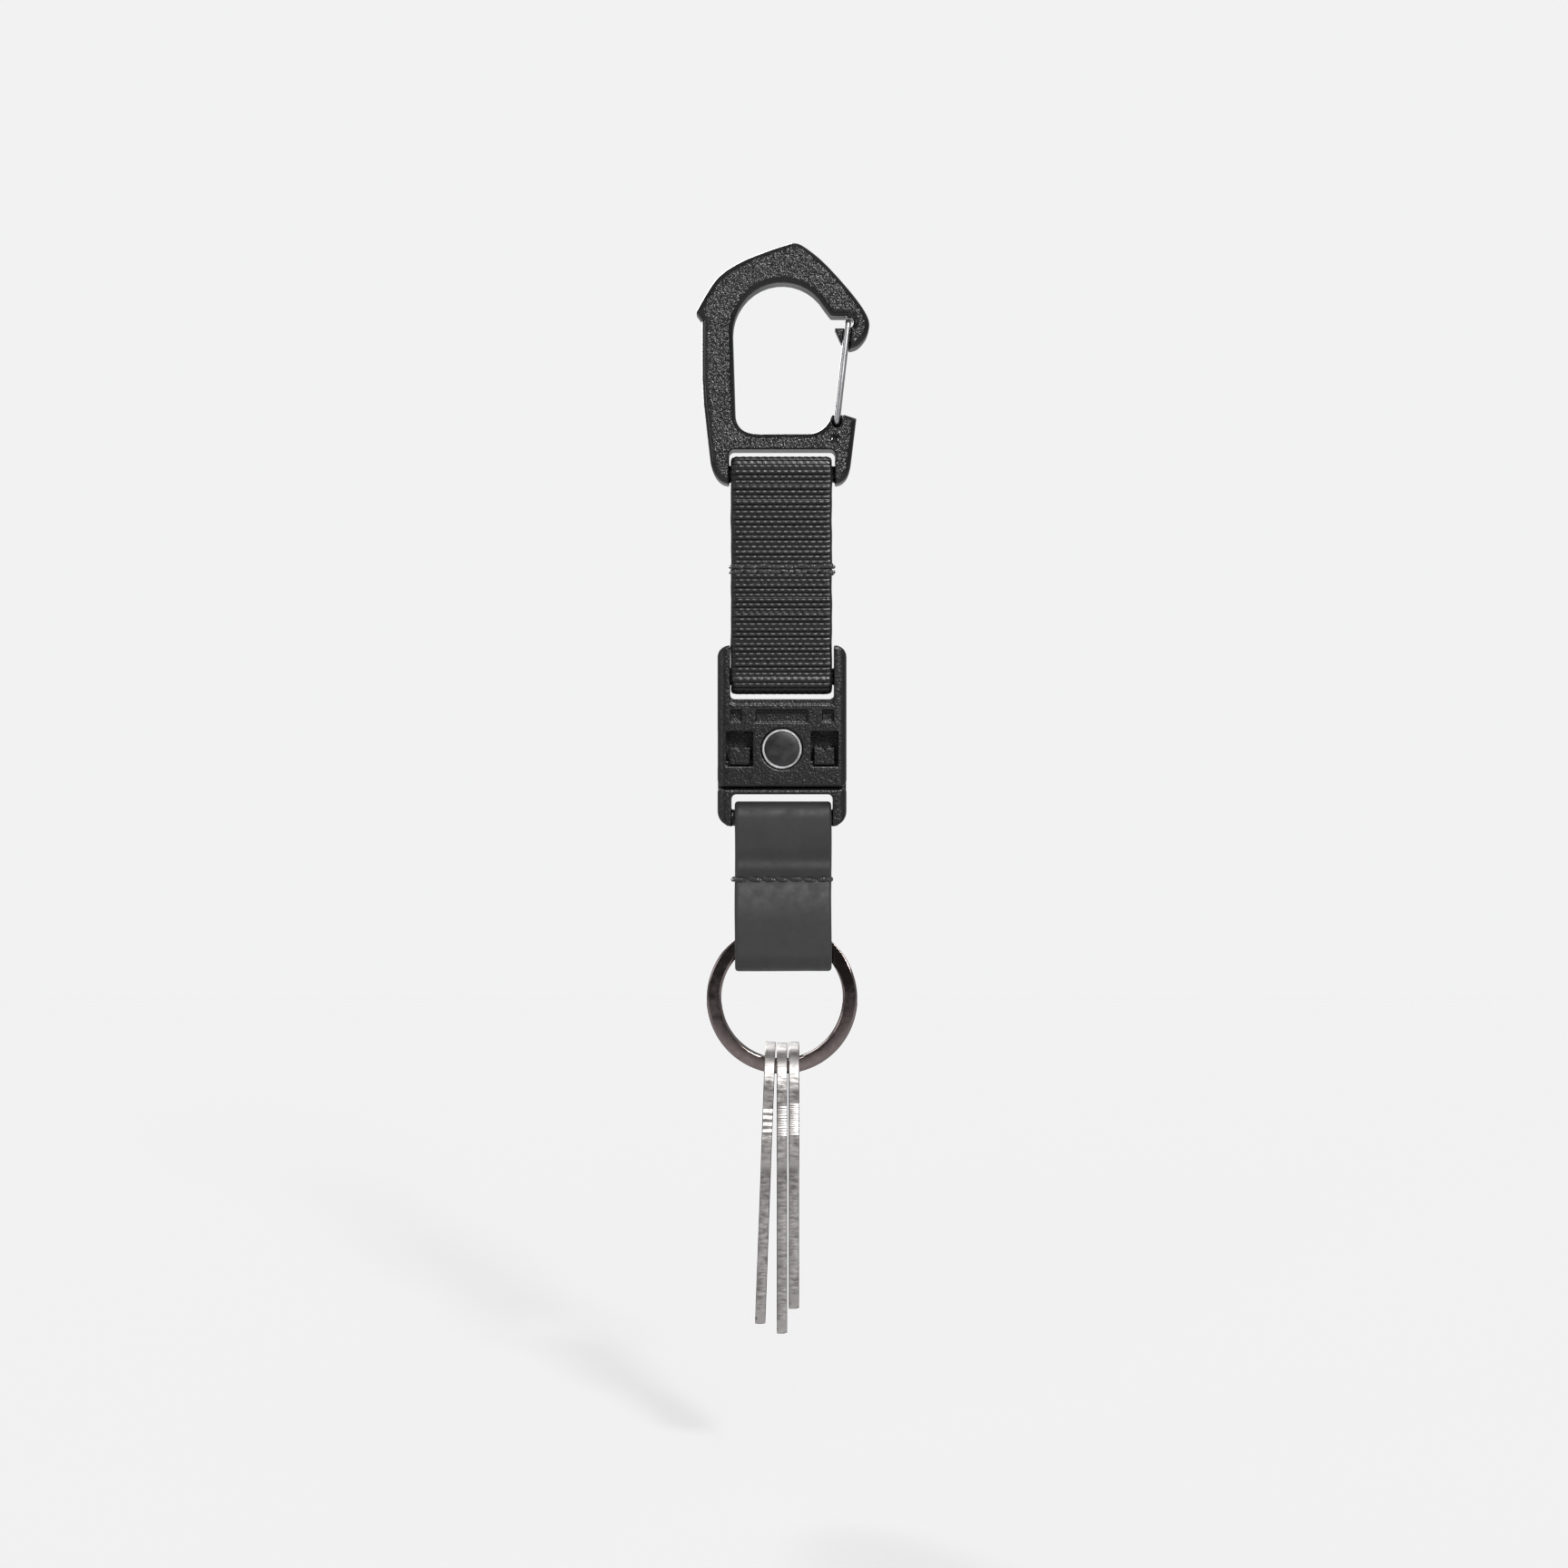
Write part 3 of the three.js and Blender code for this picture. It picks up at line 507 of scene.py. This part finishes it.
def split_ring():
    """Flat wire wound nearly twice round, crossing from the front turn to the back one."""
    low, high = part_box("split_ring")
    centre = (low + high) / 2
    outer = (high.z - low.z) / 2
    radial, turn, gap = 2.9 * MM, 1.27 * MM, 0.28 * MM
    wire_end, jog = 30, 40                  # degrees: where the wire starts, and what the step takes
    middle = outer - radial / 2
    r, t = radial / 2, turn / 2
    step = (turn + gap) / 2
    sweep = 720 - jog
    rows = []
    for along in np.linspace(0, sweep, 560):
        share = min(1, max(0, (along - sweep / 2) / jog + 0.5))
        share = share * share * (3 - 2 * share)
        offset = step * (2 * share - 1)
        front = 1 - share
        corners = []
        for sx, sy in ((1, -1), (1, 1), (-1, 1), (-1, -1)):
            outward = front if sy < 0 else share
            cut = (0.12 + 0.36 * outward) * MM
            at = np.array([sx * (r - cut), sy * (t - cut)])
            start = {(1, -1): -90, (1, 1): 0, (-1, 1): 90, (-1, -1): 180}[(sx, sy)]
            for a in np.radians(np.linspace(start, start + 90, 6)):
                corners.append(at + cut * np.array([math.cos(a), math.sin(a)]))
        angle = math.radians(wire_end + jog / 2 + along)
        x, z = math.cos(angle), math.sin(angle)
        rows.append([
            (centre.x + (middle + o) * x, offset + y, centre.z + (middle + o) * z) for o, y in corners])
    shell = Shell()
    shell.grid(rows)
    finish = metal("ring_gunmetal", (0.2, 0.165, 0.16), (0.26, 0.215, 0.205), (0.07, 0.15),
                   scratch=0.002, stretch=(1, 1, 1), scale=700)
    shell.piece("ring", "ring", "split_ring", "ring_gunmetal", finish, weighted=True)


def bent(points, bend, steps=9):
    """Straight runs through the points, joined by round bends."""
    points = [np.array(p, float) for p in points]
    path = [points[0]]
    for before, corner, after in zip(points, points[1:], points[2:]):
        a = corner + (before - corner) * min(1, bend / np.linalg.norm(before - corner))
        b = corner + (after - corner) * min(1, bend / np.linalg.norm(after - corner))
        for t in np.linspace(0, 1, steps):
            path.append((1 - t) ** 2 * a + 2 * t * (1 - t) * corner + t * t * b)
    path.append(points[-1])
    return path


def wire_gate():
    """The gate's bent wire, both feet in the carabiner's lower arm."""
    low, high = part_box("wire_gate")
    radius = 0.62 * MM
    pivot = next(j for j in frame["joints"] if j["name"] == "gate_hinge")
    foot = Vector(pivot["pos_m"])
    leg = high.y - radius
    top = (high.x - radius, high.z - radius)
    rear = (foot.x - 0.3 * MM, low.z + radius)
    inner, bend = 0.45 * MM, 1.1 * MM       # how near the middle the feet end, and the bends' reach
    path = bent([
        (foot.x, -inner, foot.z), (foot.x, -leg, foot.z), (top[0], -leg, top[1]),
        (top[0], leg, top[1]), (rear[0], leg, rear[1]), (rear[0], inner, rear[1])], bend)
    shell = Shell()
    shell.tube(path, radius, sides=24)
    finish = metal("steel_wire", (0.4, 0.4, 0.41), (0.5, 0.5, 0.51), (0.26, 0.36), 0.001)
    shell.piece("gate_wire", "gate", "wire_gate", "steel_wire", finish)


def turned(shell, profile, centre, segments=96):
    """A closed (radius, y) profile turned round an axis along Y."""
    rows = []
    for i in range(segments):
        a = 2 * math.pi * i / segments
        rows.append([(centre.x + r * math.cos(a), y, centre.z + r * math.sin(a)) for r, y in profile])
    shell.grid(rows, wrap_rows=True)


def disc_profile(radius, y0, y1, edge):
    """Half the section of a disc with a rounded front edge and a bevelled back one."""
    return [(PIN, y0), (radius * 0.5, y0), (radius - edge, y0), (radius - edge * 0.3, y0 + edge * 0.3),
            (radius, y0 + edge), (radius, y1 - edge), (radius - edge, y1), (PIN, y1)]


def magnets():
    """A disc magnet in a bright steel cup in the upper half, and a plated one in the lower."""
    low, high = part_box("buckle_upper_magnet_cup")
    centre = (low + high) / 2
    outer = (high.x - low.x) / 2
    inner_low, inner_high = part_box("buckle_upper_magnet")
    bore = (inner_high.x - inner_low.x) / 2 + 0.13 * MM
    lip = 0.12 * MM
    cup = Shell()
    floor = high.y - 0.4 * MM
    turned(cup, [
        (bore, low.y + lip), (bore + lip, low.y), (outer - lip, low.y), (outer, low.y + lip),
        (outer, high.y), (PIN, high.y), (PIN, floor), (bore, floor)], centre)
    bright = metal("magnet_cup_steel", (0.86, 0.86, 0.86), (0.94, 0.94, 0.94), (0.3, 0.42), 0.001)
    cup.piece("magnet_cup", "buckle_upper", "buckle_upper_magnet_cup", "magnet_cup_steel", bright)
    dark = Finish("magnet_black", Metallic=0.4)
    cloud = dark.noise(500, detail=4)
    dark.colours(cloud, [(0.3, (0.018, 0.018, 0.019)), (0.7, (0.032, 0.032, 0.034))])
    dark.roughness(cloud, 0.3, 0.5)
    dark.bump((dark.noise(2500), 0.01 * MM, 0.4))
    upper = Shell()
    turned(upper, disc_profile(bore - 0.05 * MM, inner_low.y, inner_high.y, 0.15 * MM), centre)
    upper.piece("upper_magnet", "buckle_upper", "buckle_upper_magnet", "magnet_black", dark.material)
    low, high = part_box("buckle_lower_magnet")
    lower = Shell()
    turned(lower, disc_profile((high.x - low.x) / 2, low.y, high.y, 0.2 * MM), (low + high) / 2)
    plated = metal("magnet_plated", (0.5, 0.5, 0.5), (0.62, 0.62, 0.63), (0.15, 0.3), 0.006)
    lower.piece("lower_magnet", "buckle_lower", "buckle_lower_magnet", "magnet_plated", plated)


def outline_solid(name, outline, holes, half_thickness, bevel):
    """A flat plate from an outline and holes, with rounded edges, lying in its own X and Y."""
    curve = bpy.data.curves.new(name, "CURVE")
    curve.dimensions = "2D"
    curve.fill_mode = "BOTH"
    curve.extrude = half_thickness - bevel
    curve.bevel_depth = bevel
    curve.bevel_resolution = 2
    curve.offset = -bevel
    for loop in (outline, *holes):
        spline = curve.splines.new("POLY")
        spline.points.add(len(loop) - 1)
        spline.use_cyclic_u = True
        for point, (x, y) in zip(spline.points, loop):
            point.co = (x, y, 0, 1)
    plate = bpy.data.objects.new(name, curve)
    bpy.context.scene.collection.objects.link(plate)
    mesh = baked(plate)
    bpy.data.objects.remove(plate)
    work = bmesh.new()
    work.from_mesh(mesh)
    bmesh.ops.remove_doubles(work, verts=work.verts, dist=1e-6)
    work.to_mesh(mesh)
    work.free()
    return mesh


def quadratic(a, b, c, steps=10):
    return [((1 - t) ** 2 * a[0] + 2 * t * (1 - t) * b[0] + t * t * c[0],
             (1 - t) ** 2 * a[1] + 2 * t * (1 - t) * b[1] + t * t * c[1]) for t in np.linspace(0, 1, steps)]


# Keys, in millimetres. Across is from the hole towards the front edge, down is from it to the tip.
BOW_HALF, BLADE_HALF = 12.25, 4.2
BOW_TOP, SHOULDER = 4.25, -21.25
BOW_FOOT = SHOULDER + 7                     # where the bow's lower corners begin
BOW_CROWN = BOW_TOP - 9                     # and its upper ones
KEYS = {
    "key_left": {"tilt": 2.1, "blade": 31.0, "cuts": [1.2, 2.4, 0.8, 1.9, 2.7, 1.4],
                 "knurl": 0.3, "knurl_pitch": 1.3, "tooth": 0.03},
    "key_middle": {"tilt": 0.0, "blade": 32.7, "cuts": [2.2, 0.9, 1.7, 2.6, 1.1, 2.0],
                   "knurl": 0.16, "knurl_pitch": 0.5, "tooth": 0.07},
    "key_right": {"tilt": 0.0, "blade": 27.9, "cuts": [1.6, 2.5, 1.2, 0.8, 2.1],
                  "knurl": 0.12, "knurl_pitch": 0.42, "tooth": 0.05},
}


def key_outline(facts):
    """The bow, the shoulder and the cut blade, turned so that the cuts face back."""
    bow, half, shoulder = BOW_HALF, BLADE_HALF, SHOULDER
    tip = shoulder - facts["blade"]
    points = quadratic((half, shoulder), (bow, shoulder + 0.5), (bow, BOW_FOOT))
    points += quadratic((bow, BOW_CROWN), (bow - 0.5, BOW_TOP), (3.5, BOW_TOP))
    points += quadratic((-3.5, BOW_TOP), (-bow + 0.5, BOW_TOP), (-bow, BOW_CROWN))
    reach = BOW_CROWN - BOW_FOOT
    points += [(-bow, BOW_CROWN - reach * i / 6) for i in range(1, 6)]
    points += quadratic((-bow, BOW_FOOT), (-bow, shoulder + 0.5), (-half - 1.2, shoulder))
    points.append((-half, shoulder - 1.5))
    pitch = (facts["blade"] - 7) / len(facts["cuts"])
    for i, cut in enumerate(facts["cuts"]):
        z = shoulder - 3.5 - pitch * i
        points += [(-half, z), (-half + cut, z - pitch * 0.35), (-half + cut, z - pitch * 0.65)]
    points += [(-half + 0.6, tip + 3.2), (-0.6, tip), (0.8, tip), (half, tip + 3.4)]
    return [(-across, down) for across, down in serrated(points, facts)]


def serrated(points, facts):
    """Fine teeth along the front edge: a knurl on the bow, file marks on the blade."""
    draw = random.Random(len(facts["cuts"]) + int(facts["blade"]))
    tip = SHOULDER - facts["blade"]
    on_blade, on_bow = [], []
    z = tip + 4.2
    while z < SHOULDER - 2:
        on_blade.append((BLADE_HALF - facts["tooth"] * draw.uniform(0.6, 1.0), z))
        z += 0.26
        on_blade.append((BLADE_HALF, z))
        z += draw.uniform(0.22, 0.3)
    z = SHOULDER + 8.5
    while z < SHOULDER + 15:
        on_bow.append((BOW_HALF - facts["knurl"], z))
        z += facts["knurl_pitch"] / 2
        on_bow.append((BOW_HALF, z))
        z += facts["knurl_pitch"] / 2
    start = next(i for i, p in enumerate(points) if p[0] == BLADE_HALF and p[1] == SHOULDER)
    turn = next(i for i, p in enumerate(points) if p == (BOW_HALF, BOW_FOOT))
    return points[start:turn + 1] + on_bow + points[turn + 1:] + points[:start] + on_blade


def carve(mesh, cutters):
    """Takes boxes out of a mesh: each is (low corner, high corner)."""
    piece = bpy.data.objects.new("blank", mesh)
    tool_mesh = bpy.data.meshes.new("grooves")
    work = bmesh.new()
    for low, high in cutters:
        corners = bmesh.ops.create_cube(work, size=1.0)["verts"]
        for corner in corners:
            corner.co = Vector(h if c > 0 else l for c, l, h in zip(corner.co, low, high))
    work.to_mesh(tool_mesh)
    work.free()
    tool = bpy.data.objects.new("grooves", tool_mesh)
    for made in (piece, tool):
        bpy.context.scene.collection.objects.link(made)
    cut = piece.modifiers.new("grooves", "BOOLEAN")
    cut.object = tool
    cut.operation = "DIFFERENCE"
    cut.solver = "EXACT"
    result = baked(piece)
    bpy.data.objects.remove(piece)
    bpy.data.objects.remove(tool)
    return result


def key(name, facts, metal_finish):
    """A blank with grooves and a sunk panel on both sides, hung edge-on from its joint on the ring."""
    half, edge, hole_radius = 1.0, 0.12, 2.2
    turns = np.linspace(0, 2 * math.pi, 49)[:-1]
    hole = [(hole_radius * math.cos(a), hole_radius * math.sin(a)) for a in turns]
    mesh = outline_solid(name, key_outline(facts), [hole], half, edge)
    tip, proud = SHOULDER - facts["blade"], 0.2
    panel_half, panel_top, panel_foot, panel_depth = 9.0, -5.5, -14.5, 0.12
    grooves = []
    for side in (-1, 1):
        for across, width, depth in ((-0.9 * side, 1.3, 0.45), (2.0 * side, 0.8, 0.35)):
            z0, z1 = sorted((side * (half - depth), side * (half + proud)))
            low, high = (across - width / 2, tip - 1, z0), (across + width / 2, SHOULDER + 2.2, z1)
            grooves.append((low, high))
        z0, z1 = sorted((side * (half - panel_depth), side * (half + proud)))
        grooves.append(((-panel_half, panel_foot, z0), (panel_half, panel_top, z1)))
    mesh = carve(mesh, grooves)
    joint = next(j for j in frame["joints"] if j["name"] == name + "_swing")
    at = Vector(joint["pos_m"])
    lean = math.radians(facts["tilt"])
    for v in mesh.vertices:
        across, down, through = v.co
        x = through * math.cos(lean) + down * math.sin(lean)
        z = down * math.cos(lean) - through * math.sin(lean)
        v.co = at + MM * Vector((x, across, z))
    finished(name + "_cut", mesh, name, name, metal_finish, smooth_angle=30, weighted=True)


# ------------------------------------------------------------------ stage

def sheet(name, corners, paint_name, shade, roughness):
    """A flat piece of the studio in one plain colour."""
    mesh = bpy.data.meshes.new(name)
    mesh.from_pydata(corners, [], [(0, 1, 2, 3)])
    paint = bpy.data.materials.new(paint_name)
    paint.use_nodes = True
    shader = paint.node_tree.nodes["Principled BSDF"]
    shader.inputs["Base Color"].default_value = (*shade, 1)
    shader.inputs["Roughness"].default_value = roughness
    mesh.materials.append(paint)
    made = bpy.data.objects.new(name, mesh)
    bpy.context.scene.collection.objects.link(made)
    return made


def stage():
    """A pale floor below the object, and a dark card in front that only reflections show."""
    size, z = 1.2, cad_box[0].z - 30 * MM
    corners = [(-size, -size, z), (size, -size, z), (size, size, z), (-size, size, z)]
    floor = sheet("floor", corners, "pale_paper", (0.85, 0.85, 0.86), 0.9)
    floor.is_shadow_catcher = True

    half, y, top, bottom = 0.4, -0.95, 0.3, -0.5
    corners = [(-half, y, bottom), (half, y, bottom), (half, y, top), (-half, y, top)]
    card = sheet("dark_card", corners, "black_card", (0.02, 0.02, 0.02), 0.5)
    card.visible_camera = False
    card.visible_diffuse = False
    card.visible_shadow = False


def surroundings():
    """An even pale background for the camera, and a dimmer even light for the object."""
    world = bpy.data.worlds.new("studio")
    world.use_nodes = True
    tree = world.node_tree
    path = tree.nodes.new("ShaderNodeLightPath")
    mix = tree.nodes.new("ShaderNodeMixRGB")
    mix.inputs["Color1"].default_value = (*STUDIO_LIGHT, 1)
    mix.inputs["Color2"].default_value = (*BACKGROUND, 1)
    tree.links.new(path.outputs["Is Camera Ray"], mix.inputs["Fac"])
    tree.links.new(mix.outputs["Color"], tree.nodes["Background"].inputs["Color"])
    bpy.context.scene.world = world
    bpy.context.scene.view_settings.view_transform = "Standard"


def lights():
    """Round lamps aimed at the object: name, place, watts, width, and what each one lights."""
    target = Vector((0, 0, -0.1))
    for name, place, power, size, diffuse, glossy in (
            ("key", (0.30, -0.78, 0.34), 1.9, 0.11, True, True),
            ("fill", (-0.1, -1.3, 0.1), 9.0, 1.4, True, False),
            ("gloss", (0.30, -0.78, 0.36), 2.6, 0.3, False, True),
            ("near_gloss", (0.12, -0.30, 0.2), 1.5, 0.1, False, True),
            ("side", (-0.7, -0.35, 0.1), 0.8, 0.3, False, True),
            ("back", (-0.25, 0.8, 0.3), 5.0, 0.5, True, True)):
        data = bpy.data.lights.new(name, "AREA")
        data.shape = "DISK"
        data.size = size
        data.energy = power
        light = bpy.data.objects.new(name, data)
        light.location = place
        light.rotation_euler = (target - light.location).to_track_quat("-Z", "Y").to_euler()
        light.visible_diffuse = diffuse
        light.visible_glossy = glossy
        bpy.context.scene.collection.objects.link(light)


def camera():
    """Straight in front, with the lens that makes the view as tall as the photograph's."""
    data = bpy.data.cameras.new("camera")
    frame_height = 317.1 * MM
    distance = 0.55
    data.sensor_width = 36
    data.lens = 36 * distance / frame_height
    viewer = bpy.data.objects.new("camera", data)
    viewer.location = (0.4 * MM, -distance, -100.9 * MM)
    viewer.rotation_euler = (math.pi / 2, 0, 0)
    bpy.context.scene.collection.objects.link(viewer)
    bpy.context.scene.camera = viewer


# ------------------------------------------------------------------ the object

camera()
stage()
surroundings()
lights()
black_thread = thread()
carabiner_finish = grained_polymer("carabiner_polymer", 0.004, 1900, 0.5 * MM, (0.16, 0.28), True)
buckle_finish = grained_polymer("buckle_polymer", 0.0035, 2300, 0.13 * MM, (0.26, 0.4), False)
moulded("carabiner", "carabiner_body", "carabiner", carabiner_finish, 0.15 * MM, 5)
moulded("upper_half", "buckle_upper_body", "buckle_upper", buckle_finish, 0.13 * MM, 3)
moulded("lower_half", "buckle_lower_body", "buckle_lower", buckle_finish, 0.13 * MM, 3)
webbing(black_thread)
strap(black_thread)
wire_gate()
magnets()
split_ring()
nickel = key_metal()
for key_name, key_facts in KEYS.items():
    key(key_name, key_facts, nickel)
